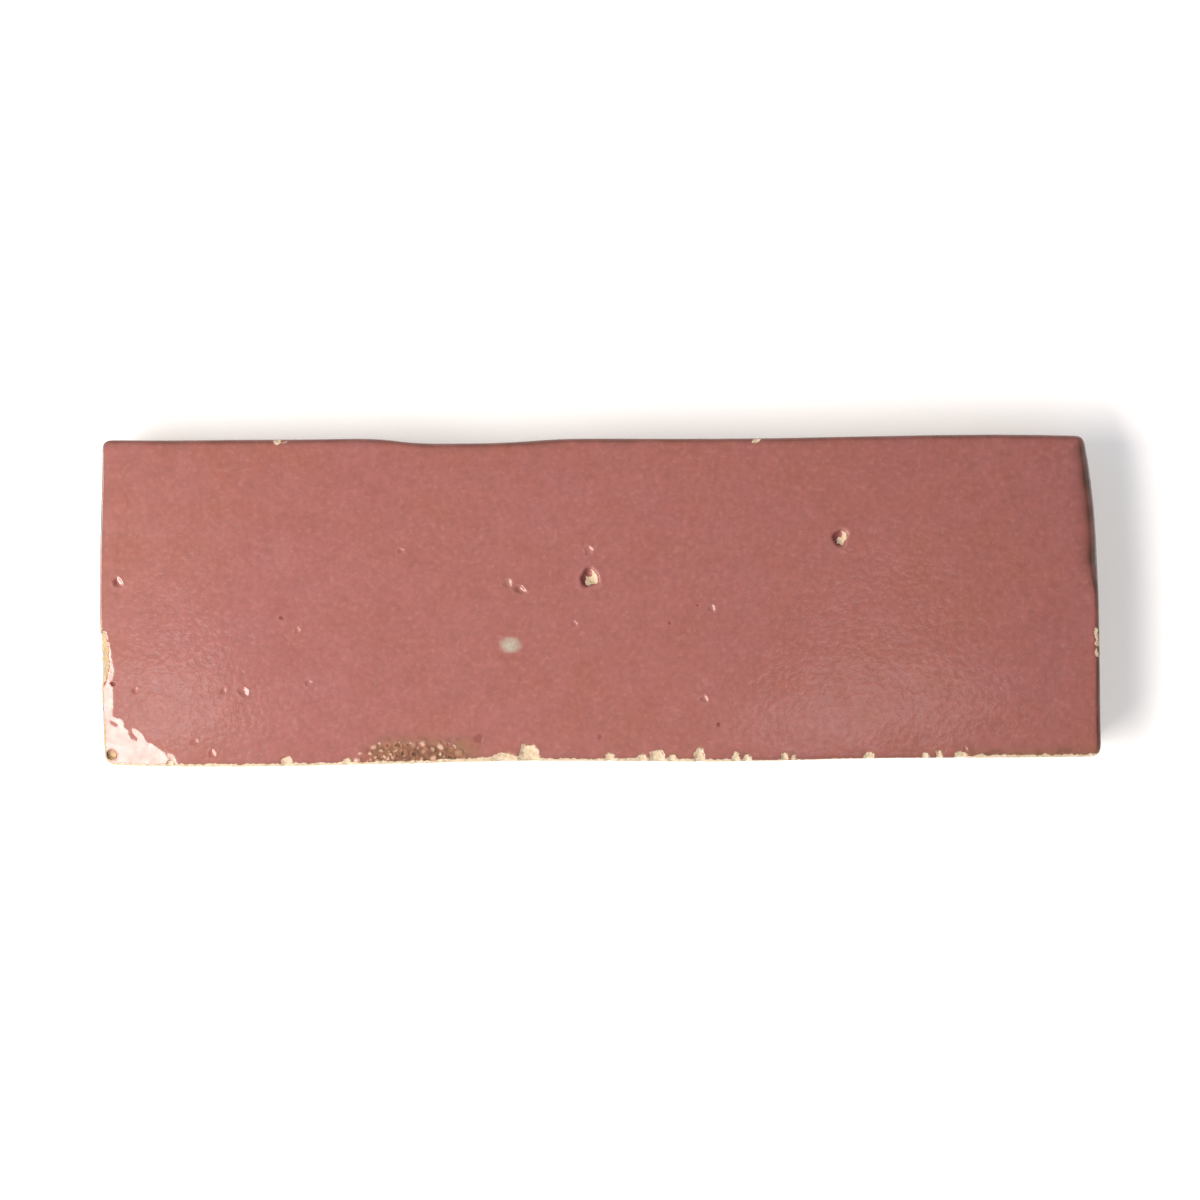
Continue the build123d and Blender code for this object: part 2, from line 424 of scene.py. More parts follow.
def read_rim(solid):
    """Evenly spaced points on the tile's widest outline, with the ray and the outward direction at each."""
    starts, ways = rim_rays()
    levels = [flank_reach(solid, starts, ways, np.full(len(starts), height)) for height in RIM_HEIGHTS]
    line = starts + ways * np.max(levels, axis=0)[:, None]
    gaps = np.hypot(*(np.roll(line, -1, 0) - line).T)
    along = np.concatenate([[0], np.cumsum(gaps)])
    even = np.linspace(0, along[-1], RIM_STEPS, endpoint=False)

    def resample(values):
        closed = np.vstack([values, values[:1]])
        return np.column_stack([np.interp(even, along, closed[:, axis]) for axis in (0, 1)])

    outline = np.column_stack([ring_blur(values) for values in resample(line).T])
    tangent = np.roll(outline, -2, 0) - np.roll(outline, 2, 0)
    tangent /= np.hypot(*tangent.T)[:, None]
    outward = np.column_stack([tangent[:, 1], -tangent[:, 0]])
    starts = resample(starts)
    ways = outline - starts
    reach = np.hypot(*ways.T)
    sides = np.column_stack([outward @ np.array(way) for way in SIDE_WAYS]).clip(0) ** 2
    return SimpleNamespace(
        outline=outline,
        outward=outward,
        starts=starts,
        ways=ways / reach[:, None],
        reach=reach,
        sides=sides / sides.sum(1)[:, None],
        places=np.column_stack([outline, np.zeros(RIM_STEPS)]),
    )


def by_side(rim, front, right, back, left):
    """A value for each point of the rim, blended from a value or a row of values for each side."""
    values = [np.broadcast_to(value, RIM_STEPS) for value in (front, right, back, left)]
    return (rim.sides * np.column_stack(values)).sum(1)


def down_right_end(rim):
    """How far each point of the rim lies down the right end, from 0 near the back to 1 near the front."""
    return smooth_step(-rim.outline[:, 1], *RIGHT_CHANGE)


# Relief of the glazed face


def patch_share(x, out, start, stop, fade):
    """Strength of a patch beside the front edge, from 0 to 1, out millimetres in from the format's front."""
    along = smooth_step(x, *start) * (1 - smooth_step(x, *stop))
    (full, full_more), (none, none_more) = fade
    return along * (1 - smooth_step(out, full + full_more * along, none + none_more * along))


def boiled_share(x, y):
    """How far the glaze has turned golden, from 0 to 1: round the froth and along the front right."""
    out = y + HALF_WIDTH
    strip = STRIP_SHARE * smooth_step(x, *STRIP_START) * (1 - smooth_step(out, *STRIP_FADE))
    return np.maximum(patch_share(x, out, GOLDEN_START, GOLDEN_STOP, GOLDEN_FADE), strip)


def froth_share(x, y):
    """How thickly bubbles of boiled glaze stand beside the front edge, from 0 to 1."""
    return patch_share(x, y + HALF_WIDTH, FROTH_START, FROTH_STOP, FROTH_FADE)


def froth_bubbles():
    """Bubbles of the froth, as x, y, radius, paleness and whether it has burst, the same on each run."""
    draw = np.random.default_rng(BUBBLE_SEED)
    bubbles = []
    for _ in range(BUBBLE_TRIES):
        x = draw.uniform(FROTH_START[0], FROTH_STOP[1])
        y = draw.uniform(*BUBBLE_BAND) - HALF_WIDTH
        size = BUBBLE_RADIUS + BUBBLE_GROWTH * draw.random() ** 1.5
        pale = draw.uniform(*BUBBLE_PALE)
        free = all(math.hypot(x - other[0], y - other[1]) > size + other[2] for other in bubbles)
        if free and draw.random() < froth_share(x, y):
            bubbles.append((x, y, size, pale, len(bubbles) % BURST_EVERY == 0))
    return bubbles


def froth_relief(x, y):
    """Height of the froth and its tone, from -1 in burst bubbles to 1 on pale crests."""
    share = froth_share(x, y)
    height, tone = -0.05 * share, -0.5 * share
    patch = np.where((np.abs(x - FROTH_MIDDLE) < FROTH_REACH) & (y + HALF_WIDTH < FROTH_DEPTH))[0]
    places = np.column_stack([x, y, 0 * x])[patch]

    # Warped places, so that no bubble is round
    warped_x = x[patch] + 0.3 * wobble(places, 0.9, 12) + 0.12 * wobble(places, 0.4, 16)
    warped_y = y[patch] + 0.3 * wobble(places, 0.9, 13) + 0.12 * wobble(places, 0.4, 17)
    for middle_x, middle_y, size, pale, burst in froth_bubbles():
        away = np.hypot(warped_x - middle_x, warped_y - middle_y) / size
        near = patch[away < 1.1]
        away = away[away < 1.1]
        if burst:
            crest = bell(away - 0.85, 0.2)
            hole = np.clip(1 - (away / 0.7) ** 2, 0, 1)
            height[near] = (0.12 * crest - 0.35 * hole) * size
            tone[near] = 0.25 * pale * crest - 0.75 * hole
        else:
            crest = np.clip(1 - away**2, 0, 1)
            height[near] = np.maximum(height[near], 0.32 * size * np.sqrt(crest))
            tone[near] = np.maximum(tone[near], pale * crest)
    mottle = share[patch] * (wobble(places, 0.8, 14) + 0.5 * wobble(places, 1.7, 15))
    height[patch] += 0.06 * mottle
    tone[patch] += 0.5 * mottle
    return height, tone


def face_height(form, x, y):
    """Height of the face: the CAD solid's slow swell, a sunken corner, a rolled strip and fine lumps."""
    places = np.column_stack([x, y, 0 * x])
    swell = form.swell_height * (1 - np.cos(2 * np.pi * (x - form.swell_crest) / form.swell_length)) / 2
    edge_fall = form.long_edge_fall * (y / HALF_WIDTH) ** 4
    end_fall = form.end_fall * (x / HALF_LENGTH) ** 6

    # Distance past the corner's fold and past the strip's edge, both ragged
    past_corner = CORNER_WAY[0] * (x - CORNER_FOLD[0]) + CORNER_WAY[1] * (y - CORNER_FOLD[1])
    strip = form.roll_width * (1 - smooth_step(y, *ROLL_FADE)) * (x < 0)
    past_strip = strip - (x + HALF_LENGTH - ROLL_START)
    ragged = layered_wobble(places, CORNER_RAGGED)
    past_corner = past_corner + ragged * bell(past_corner, 1.1)
    past_strip = past_strip + 0.4 * ragged * bell(past_strip, 0.5)
    corner = form.corner_fall / CORNER_RUN * soft_ramp(past_corner, 0.12)
    roll = form.roll_fall / form.roll_width * soft_ramp(past_strip, 0.1) * (strip > 0)
    sunk = np.maximum(corner, roll)
    froth, _ = froth_relief(x, y)
    lumps = layered_wobble(places, LUMPS)
    return THICKNESS - FACE_ROOM - swell - edge_fall - end_fall - sunk + lumps + froth


def blister_share(blister, x, y):
    """Distance from a blister's middle as a share of its ragged mouth."""
    middle_x, middle_y, mouth, stretch, turn = blister[:5]
    cos_turn, sin_turn = math.cos(math.radians(turn)), math.sin(math.radians(turn))
    along = ((x - middle_x) * cos_turn + (y - middle_y) * sin_turn) / stretch
    across = (y - middle_y) * cos_turn - (x - middle_x) * sin_turn
    angle = np.arctan2(across, along)
    ragged = 1 + 0.1 * np.sin(2 * angle + middle_x) + 0.08 * np.sin(3 * angle + middle_y)
    ragged = ragged + 0.05 * np.sin(5 * angle)
    return np.hypot(along, across) / (mouth * ragged)


def sink_blisters(plan, heights, margin):
    """Heights and glaze margins of face points with the blisters sunk in, their iron tint with painted
    shade, and dullness.
    """
    x, y = plan.T
    iron, dull = np.zeros(len(plan)), np.zeros(len(plan))
    for blister in BLISTERS:
        middle_x, middle_y, mouth, _, _, depth, bare, stain_and_shade = blister
        share = blister_share(blister, x, y)
        # Painted shade: a wide, deep mouth keeps its iron tint only on the left wall, which faces away from
        # the window lamp
        if mouth > PAINTED_SHADE_MOUTH and depth > PAINTED_SHADE_DEPTH:
            stain_and_shade = stain_and_shade * smooth_step((middle_x - x) / mouth, -0.3, 0.5)
        iron = np.maximum(iron, stain_and_shade * (1 - smooth_step(share, 0.5 + 0.4 * bare, 1.1 + 0.2 * bare)))
        if mouth < DULL_MOUTH or bare:
            dimmed = 0.65 if mouth < DULLEST_MOUTH or bare else 0.3
            dull = np.maximum(dull, dimmed * (1 - smooth_step(share, 1.1, 1.4)))
        lip = 0.07 * depth * bell(share - 1.15, 0.2)
        heights = heights + (lip - depth * np.clip(1 - share ** (3 if bare else 2), 0, 1))
        if bare:
            # A wide mouth keeps a tongue of glaze inside, so that the bare clay is a crescent
            crescent = np.maximum((share - bare) * mouth, middle_x - 0.5 * mouth - x)
            if mouth > TONGUE_MOUTH:
                tongue = np.hypot(x - middle_x + 0.1 * mouth, y - middle_y - 0.5 * mouth)
                crescent = np.maximum(crescent, 0.45 * mouth - tongue)
            margin = np.minimum(margin, crescent)
    return heights, margin, iron, dull


def break_chips(points, across, sides, ways):
    """Points sunk into the scars of the chips, and how far inside a chip each one lies.

    Across is a point's distance from the arris, over the face if negative and down the flank if positive.
    """
    inside = np.full(len(points), OUTSIDE)
    points = points.copy()
    for number, (side, station, length, bite, drop) in enumerate(CHIPS):
        edge, axis = CHIP_SIDES[side]
        beside = np.abs(points[:, axis] - station) < length
        near = np.where((sides[:, edge] > 0.5) & beside & (across < 2 * drop))[0]
        places = points[near]
        along = (places[:, axis] - station) / (length / 2)
        down = np.where(across[near] < 0, across[near] / bite, across[near] / drop)
        ragged = 1 + 0.3 * wobble(places, 0.8, number + 20) + 0.15 * wobble(places, 0.4, number + 21)
        share = np.hypot(along, down) / ragged
        inside[near] = np.maximum(inside[near], (1 - share) * min(length / 2, bite))
        depth = 0.5 * min(bite, drop) * np.sqrt(np.clip(1 - share**2, 0, 1))
        depth *= 1 + 0.3 * wobble(places, 0.6, number + 22)
        points[near] -= depth[:, None] * np.column_stack([0.7 * ways[near], np.full(len(near), 0.7)])
    return points, inside


# Glaze along the rim


def glaze_end(rim):
    """How far past the start of the arris the glaze reaches at each point of the rim."""
    front_end = np.interp(rim.outline[:, 0], *np.array(FRONT_GLAZE_END).T)
    right_end = RIGHT_GLAZE - LOWER_RIGHT_LESS * down_right_end(rim)
    left_end = LEFT_GLAZE * smooth_step(rim.outline[:, 1], *LEFT_CHANGE)
    end = by_side(rim, front_end, right_end, BACK_GLAZE, left_end) + 0.15 * wobble(rim.places, 1.2, 10)
    drips = np.clip(wobble(rim.places, 5.0, 9) - 0.15, 0, 1) ** 1.5
    return end + (1 - rim.sides[:, 0]) * (rim.outline[:, 1] > DRIPS_FROM) * LONGEST_DRIP * drips


def thin_glaze_and_shade(rim, column, inward):
    """How brown the glaze shows at points that lie inward from a place on the rim: thinned glaze, with
    painted shade on the right and back edges.
    """
    front, right, back, left = THIN_WIDTHS
    width = by_side(rim, front, right - LOWER_RIGHT_NARROWER * down_right_end(rim), back, left)
    uneven = (1 + 0.35 * wobble(rim.places, 2.5, 11)).clip(0, 1.15)
    share = by_side(rim, *THIN_SHARES) * uneven
    return np.exp(-inward / width[column]) * share[column]


# Mesh of the tile


def rim_tree(ring):
    """A search tree of points in plan."""
    tree = kdtree.KDTree(len(ring))
    for number, point in enumerate(ring):
        tree.insert((*point, 0), number)
    tree.balance()
    return tree


def blister_rings(blister):
    """Plan points in rings round a blister's middle, close together at its mouth."""
    middle_x, middle_y, mouth = blister[:3]
    count = max(14, int(36 * mouth))
    rings = [(middle_x, middle_y)]
    for number, share in enumerate(RING_SHARES):
        reach = mouth * share
        for angle in (np.arange(count) + 0.5 * (number % 2)) * 2 * np.pi / count:
            rings.append((middle_x + reach * math.cos(angle), middle_y + reach * math.sin(angle)))
    return rings


def face_points(ring, outward):
    """Plan points inside the glazed face, with the nearest point of its ring and the distance to that.

    They lie close together where the face is frothy or busy, and wider apart elsewhere.
    """
    points = []
    for step, wanted in ((FROTHY_STEP, 2), (BUSY_STEP, 1), (CALM_STEP, 0)):
        rows = np.arange(-HALF_WIDTH, HALF_WIDTH, TRIANGLE_ROW * step)
        for row, y in enumerate(rows):
            x = np.arange(-HALF_LENGTH + 0.5 * (row % 2) * step, HALF_LENGTH, step)
            room = np.minimum(HALF_LENGTH - np.abs(x), HALF_WIDTH - abs(y))
            corner = np.hypot(x + HALF_LENGTH, y + HALF_WIDTH)
            frothy = froth_share(x, np.full(len(x), y)) > 0
            busy = np.where(frothy, 2, (room < BUSY_RIM) | (corner < BUSY_CORNER))
            points.extend((place, y) for place in x[busy == wanted])
    points = np.array(points)
    for blister in BLISTERS:
        middle_x, middle_y, mouth = blister[:3]
        clear = np.hypot(points[:, 0] - middle_x, points[:, 1] - middle_y) > RINGS_ROOM * mouth
        points = np.vstack([points[clear], blister_rings(blister)])
    tree = rim_tree(ring)
    kept, nearest, away = [], [], []
    for point in points:
        _, number, distance = tree.find((*point, 0))
        if distance > RIM_ROOM and (point - ring[number]) @ outward[number] < 0:
            kept.append(point)
            nearest.append(number)
            away.append(distance)
    return np.array(kept), np.array(nearest), np.array(away)


def back_points():
    """Plan points inside the flat back."""
    across, along = (np.arange(-reach, reach + 1, BACK_STEP) for reach in reversed(BACK_GRID))
    return np.array([(x, y) for x in along for y in across])


def sheet(ring, points):
    """Triangles over the inside of a ring, with the ring's points first."""
    places = [Vector(point) for point in np.vstack([ring, points])]
    ring_face = list(range(len(ring)))
    _, _, faces, sources, _, within = delaunay_2d_cdt(places, [], [ring_face], 1, 1e-6, True)
    if not all(sources):
        raise RuntimeError("the rim of a sheet crosses itself")
    inside = [face for face, ring_faces in zip(faces, within) if ring_faces]
    return np.array([[sources[number][0] for number in face] for face in inside])


def rim_rows(form, solid, rim):
    """Rings of points from the face round the arris down to the back, and their distances from the face."""
    right_arris = form.right_arris * (1 - 0.5 * down_right_end(rim))
    radius = by_side(rim, form.front_arris, right_arris, form.back_arris, form.left_arris)
    radius *= 1 + 0.3 * wobble(rim.places, 7.0, 6)
    lean = (rim.ways * rim.outward).sum(1)
    rows, marks = [], []
    for turn in np.radians(np.linspace(0, ARRIS_TURN_DEG, ARRIS_ROWS)):
        inset = radius * (1 - math.sin(turn)) / lean
        plan = rim.outline - rim.ways * inset[:, None]
        height = face_height(form, plan[:, 0], plan[:, 1]) - radius * (1 - math.cos(turn))
        rows.append(np.column_stack([plan, height]))
        marks.append(radius * turn)

    top = rows[-1][:, 2] - FLANK_DROP
    for share in np.linspace(0, 1, FLANK_ROWS):
        level = top + (FOOT_HEIGHT - top) * share**0.85
        reach = np.minimum(ring_blur(flank_reach(solid, rim.starts, rim.ways, level)), rim.reach)
        plan = rim.starts + rim.ways * np.where(level > LAND_FOOT, rim.reach, reach)[:, None]
        row = np.column_stack([plan, level])
        rough = 0.5 * np.abs(wobble(row, 2.4, 7)) + 0.2 * np.abs(wobble(row, 0.8, 8))
        row[:, :2] -= rim.ways * (rough * min(1, 4 * share))[:, None]
        marks.append(marks[-1] + np.linalg.norm(row - rows[-1], axis=1))
        rows.append(row)
    rows.append(np.column_stack([rows[-1][:, :2] - rim.ways * FOOT_INSET, np.zeros(RIM_STEPS)]))
    marks.append(marks[-1] + FOOT_SLOPE)
    return rows, marks


def tile_faces(row_count, inner_count, face, back):
    """Faces of the whole tile, and the number of the material of each: 0 is glazed and 1 is bare."""
    first_inner = RIM_STEPS * row_count
    first_back = first_inner + inner_count
    faces, kinds = [], []
    for row in range(row_count - 1):
        here = row * RIM_STEPS + np.arange(RIM_STEPS)
        after = np.roll(here, -1)
        faces.extend(np.column_stack([here, here + RIM_STEPS, after + RIM_STEPS, after]).tolist())
        kinds.extend([int(row >= ARRIS_ROWS + GLAZED_FLANK_ROWS)] * RIM_STEPS)
    face = np.where(face < RIM_STEPS, face, face - RIM_STEPS + first_inner)
    back = np.where(back < RIM_STEPS, back + first_inner - RIM_STEPS, back - RIM_STEPS + first_back)
    faces.extend(face.tolist())
    faces.extend(back[:, ::-1].tolist())
    kinds.extend([0] * len(face) + [1] * len(back))
    return faces, kinds


def build_tile(form):
    """Points, faces, their materials and the surface values of the whole tile, in millimetres."""
    solid = BVHTree.FromObject(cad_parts[NODE], bpy.context.evaluated_depsgraph_get())
    rim = read_rim(solid)
    rows, marks = rim_rows(form, solid, rim)
    inner, nearest, away = face_points(rows[0][:, :2], rim.outward)
    back_inner = back_points()
    face_inner = np.column_stack([inner, face_height(form, *inner.T)])
    points = np.vstack([*rows, face_inner, np.column_stack([back_inner, np.zeros(len(back_inner))])])
    first_inner = RIM_STEPS * len(rows)
    face_part = slice(first_inner, first_inner + len(inner))
    glazed = slice(0, first_inner + len(inner))

    # Place on the rim that each point belongs to, and its distance from the arris, negative over the face
    column = np.concatenate([np.tile(np.arange(RIM_STEPS), len(rows)), nearest])
    across = np.concatenate([*marks, -away])
    sides = rim.sides[column]

    # Chips and blisters, and how far inside the glaze a point lies, negative where the clay is bare
    points[glazed], inside = break_chips(points[glazed], across, sides, rim.ways[column])
    margin = np.full(len(points), OUTSIDE)
    margin[glazed] = np.minimum(glaze_end(rim)[column] - across, -inside)
    sunk = sink_blisters(inner, points[face_part, 2], margin[face_part])
    iron, thin, fresh = (np.zeros(len(points)) for _ in range(3))
    # Iron tint of the blisters, with painted shade on the left walls of the wide deep ones
    points[face_part, 2], margin[face_part], iron[face_part], dull = sunk

    x, y, z = points.T
    # Brown of thinned glaze round the rim, and painted shade along the right and back edges
    thin[glazed] = thin_glaze_and_shade(rim, column, np.maximum(-across, 0))
    fresh[glazed] = (1 - smooth_step(across, 0.5, 1.8)) * (1 - sides[:, 3])
    boiled = boiled_share(x, y)
    chip_rims = CHIP_RIM_SHARE * smooth_step(inside, -CHIP_RIM_WIDTH, 0.0) * sides[:, 0]
    boiled[glazed] = np.maximum(boiled[glazed], chip_rims)
    frothy = froth_share(x, y) * (z > FACE_FLOOR)
    matt = smooth_step(frothy, 0.0, 0.25)
    matt[face_part] = np.maximum(matt[face_part], dull)
    _, tone = froth_relief(x, y)
    from_spot = np.hypot(*((points[:, :2] - CHALK_SPOT) / CHALK_RADII).T)
    values = {
        "glaze_mm": margin,
        "thin": thin,
        "boiled": boiled,
        "frothy": frothy,
        "froth_tone": tone,
        "chalk": (1 - smooth_step(from_spot, 0.5, 1.15)) * (z > FACE_FLOOR),
        "sandy": (margin < -0.4) & (z > GRAIN_LOW) & (z < GRAIN_HIGH),
        "fresh": fresh,
        "iron": iron,
        "dull": matt,
    }
    face, back = sheet(rows[0][:, :2], inner), sheet(rows[-1][:, :2], back_inner)
    faces, kinds = tile_faces(len(rows), len(inner), face, back)
    return points, faces, kinds, values


# Materials and scattered grains


def add_node(tree, kind, inputs=None, output=0, **settings):
    """Adds a node with its settings and its inputs' values or links, and returns one of its outputs."""
    node = tree.nodes.new(kind)
    for name, value in settings.items():
        setattr(node, name, value)
    sockets = [socket for socket in node.inputs if socket.enabled]
    for key, value in (inputs or {}).items():
        named = (found for found in sockets if found.name == key)
        socket = sockets[key] if isinstance(key, int) else next(named)
        if isinstance(value, bpy.types.NodeSocket):
            tree.links.new(value, socket)
        else:
            socket.default_value = value
    outputs = [socket for socket in node.outputs if socket.enabled]
    return outputs[output] if outputs else None


def new_material(name):
    """An empty material, with its node tree and the coordinates of its object."""
    material = bpy.data.materials.new(name)
    material.use_nodes = True
    tree = material.node_tree
    tree.nodes.clear()
    return material, tree, add_node(tree, "ShaderNodeTexCoord", output=3)


def grain(tree, place, size_mm, low, high, detail=3.0):
    """Noise with lumps of a size in millimetres, spread between two values."""
    pattern = {"Vector": place, "Scale": 1 / (size_mm * MM), "Detail": detail}
    lumps = add_node(tree, "ShaderNodeTexNoise", pattern)
    spread = {"Value": lumps, "From Min": 0.33, "From Max": 0.67, "To Min": low, "To Max": high}
    return add_node(tree, "ShaderNodeMapRange", spread)


def clay_looks(tree, place, pale, dark, cloud_mm):
    """Colour and grain height of bare fired clay, clouded from pale to dark and sandy."""
    clouds = grain(tree, place, cloud_mm, 0.0, 1.0)
    colour = add_node(tree, "ShaderNodeMix", {"Factor": clouds, "A": pale, "B": dark}, data_type="RGBA")
    sand = {"Factor": 1.0, "A": colour, "B": grain(tree, place, 0.5, 0.84, 1.08)}
    colour = add_node(tree, "ShaderNodeMix", sand, data_type="RGBA", blend_type="MULTIPLY")
    return colour, grain(tree, place, 0.6, 0.0, 0.1, 5.0)


def finish_material(tree, colour, roughness, height, glassy=0.0):
    """Ends a material in one shader, with its relief height in millimetres and a glassy skin over it."""
    bump = add_node(tree, "ShaderNodeBump", {"Height": height, "Distance": MM})
    shader = add_node(
        tree,
        "ShaderNodeBsdfPrincipled",
        {
            "Base Color": colour,
            "Roughness": roughness,
            "IOR": 1.5,
            "Specular IOR Level": 0.5,
            "Normal": bump,
            "Coat Weight": glassy,
            "Coat Roughness": 0.09,
            "Coat IOR": 1.65,
            "Coat Normal": bump,
        },
    )
    add_node(tree, "ShaderNodeOutputMaterial", {"Surface": shader})


def clouded_glaze(tree, place, colours):
    """Body colour of the glaze, clouded from warm to cool pink and mottled."""
    colour = colours.glaze
    for size, most, tint in (
        (22.0, 0.62, colours.cool_glaze),
        (31.0, 0.52, colours.warm_glaze),
        (5.0, 0.35, colours.cool_glaze),
    ):
        clouds = grain(tree, place, size, 0.0, most, 2.0)
        cloud = {"Factor": clouds, "A": colour, "B": tint}
        colour = add_node(tree, "ShaderNodeMix", cloud, data_type="RGBA")
    for size, low, high in ((0.9, 0.925, 1.075), (2.2, 0.965, 1.035), (4.0, 0.98, 1.02)):
        shade = {"Factor": 1.0, "A": colour, "B": grain(tree, place, size, low, high, 4.0)}
        colour = add_node(tree, "ShaderNodeMix", shade, data_type="RGBA", blend_type="MULTIPLY")
    return colour


def glaze_material(colours):
    """Pink lead glaze on buff earthenware: a wavy gloss, clouded from warm to cool, brown where it runs
    thinly, with painted shade along the right and back edges.

    It stops with a ragged edge where a chip or the rim shows the matt, sandy clay.
    """
    material, tree, place = new_material("Pink glaze on buff earthenware")
    margin, thin, boiled, tone, chalk, iron, fresh, dull = (
        add_node(tree, "ShaderNodeAttribute", output=2, attribute_name=name)
        for name in ("glaze_mm", "thin", "boiled", "froth_tone", "chalk", "iron", "fresh", "dull")
    )
    ragged = grain(tree, place, 0.8, -0.15, 0.15, 4.0)
    edge = add_node(tree, "ShaderNodeMath", {0: margin, 1: ragged}, operation="ADD")
    bare = add_node(tree, "ShaderNodeMapRange", {"Value": edge, "From Min": 0.03, "From Max": -0.03})

    # Glaze, brown where it runs thinly at the rim and as painted shade along the right and back edges,
    # tinted by iron and by painted shade in the left walls of blisters, and golden and scorched where it
    # boiled
    flecks = grain(tree, place, 0.7, -0.12, 0.06, 3.0)
    patches = grain(tree, place, 1.2, 0.4, 1.2, 4.0)
    golden = add_node(tree, "ShaderNodeMath", {0: boiled, 1: patches}, operation="MULTIPLY", use_clamp=True)
    burns = grain(tree, place, 1.5, -0.8, 0.8)
    scorch = add_node(tree, "ShaderNodeMath", {0: boiled, 1: burns}, operation="MULTIPLY")
    low_tones = {"Value": tone, "From Min": -0.15, "From Max": -0.9, "To Max": 0.85}
    gaps = add_node(tree, "ShaderNodeMapRange", low_tones)
    high_tones = {"Value": tone, "From Min": 0.0, "From Max": 0.9, "To Max": 0.95}
    crests = add_node(tree, "ShaderNodeMapRange", high_tones)
    patchy = grain(tree, place, 0.8, 0.6, 1.1, 3.0)
    dry = add_node(tree, "ShaderNodeMath", {0: chalk, 1: patchy}, operation="MULTIPLY", use_clamp=True)
    colour = clouded_glaze(tree, place, colours)
    for share, tint in (
        (flecks, colours.fleck),
        # Thinned glaze, and painted shade along the right and back edges
        (thin, colours.thin_glaze_and_shade),
        # Iron, and painted shade in the left walls of wide deep blisters
        (iron, colours.iron),
        (golden, colours.golden_glaze),
        (scorch, colours.froth_pit),
        (gaps, colours.froth_pit),
        (crests, colours.froth_crest),
        (dry, colours.chalk),
    ):
        colour = add_node(tree, "ShaderNodeMix", {"Factor": share, "A": colour, "B": tint}, data_type="RGBA")

    # Clay, paler where it is freshly broken
    clay, clay_grain = clay_looks(tree, place, colours.cream, colours.buff, 4.0)
    uneven = grain(tree, place, 0.9, 0.2, 1.0)
    broken = add_node(tree, "ShaderNodeMath", {0: fresh, 1: uneven}, operation="MULTIPLY")
    breaks = {"Factor": broken, "A": clay, "B": colours.fresh}
    clay = add_node(tree, "ShaderNodeMix", breaks, data_type="RGBA")
    colour = add_node(tree, "ShaderNodeMix", {"Factor": bare, "A": colour, "B": clay}, data_type="RGBA")

    # Gloss and relief
    matt = add_node(tree, "ShaderNodeMath", {0: bare, 1: dry}, operation="MAXIMUM")
    matt = add_node(tree, "ShaderNodeMath", {0: matt, 1: dull}, operation="MAXIMUM")
    gloss = grain(tree, place, 5.0, 0.36, 0.44)
    roughness = add_node(tree, "ShaderNodeMix", {"Factor": matt, "A": gloss, "B": 0.9})
    waves = grain(tree, place, 4.0, 0.0, 0.012, 2.0)
    peel = grain(tree, place, 0.9, 0.0, 0.009, 2.0)
    waves = add_node(tree, "ShaderNodeMath", {0: waves, 1: peel}, operation="ADD")
    relief = add_node(tree, "ShaderNodeMix", {"Factor": bare, "A": waves, "B": clay_grain})
    skin = grain(tree, place, 1.3, 0.55, 1.0, 4.0)
    glassy = add_node(tree, "ShaderNodeMix", {"Factor": matt, "A": skin, "B": 0.0})
    finish_material(tree, colour, roughness, relief, glassy)
    return material


def clay_material(colours):
    """Bare buff earthenware, dressed with a hammer: matt, sandy and uneven in colour, without any gloss."""
    material, tree, place = new_material("Bare buff earthenware")
    colour, height = clay_looks(tree, place, colours.cream, colours.buff, 4.0)
    finish_material(tree, colour, 0.9, height)
    return material


def froth_material(colours):
    """Froth of boiled glaze: burst bubbles that dried to rough cream and brown crumbs."""
    material, tree, place = new_material("Froth of boiled glaze")
    colour, height = clay_looks(tree, place, colours.froth_crest, colours.golden_glaze, 1.6)
    finish_material(tree, colour, 0.7, height)
    return material


def floor_material(colours):
    """Matt white paper: even and pale, so that only the tile's soft shadow shows on it."""
    material, tree, _ = new_material("Matt white paper")
    paper = {
        "Base Color": colours.floor,
        "Roughness": 0.95,
        "Emission Color": colours.floor,
        "Emission Strength": FLOOR_GLOW,
    }
    shader = add_node(tree, "ShaderNodeBsdfPrincipled", paper)
    add_node(tree, "ShaderNodeOutputMaterial", {"Surface": shader})
    return material


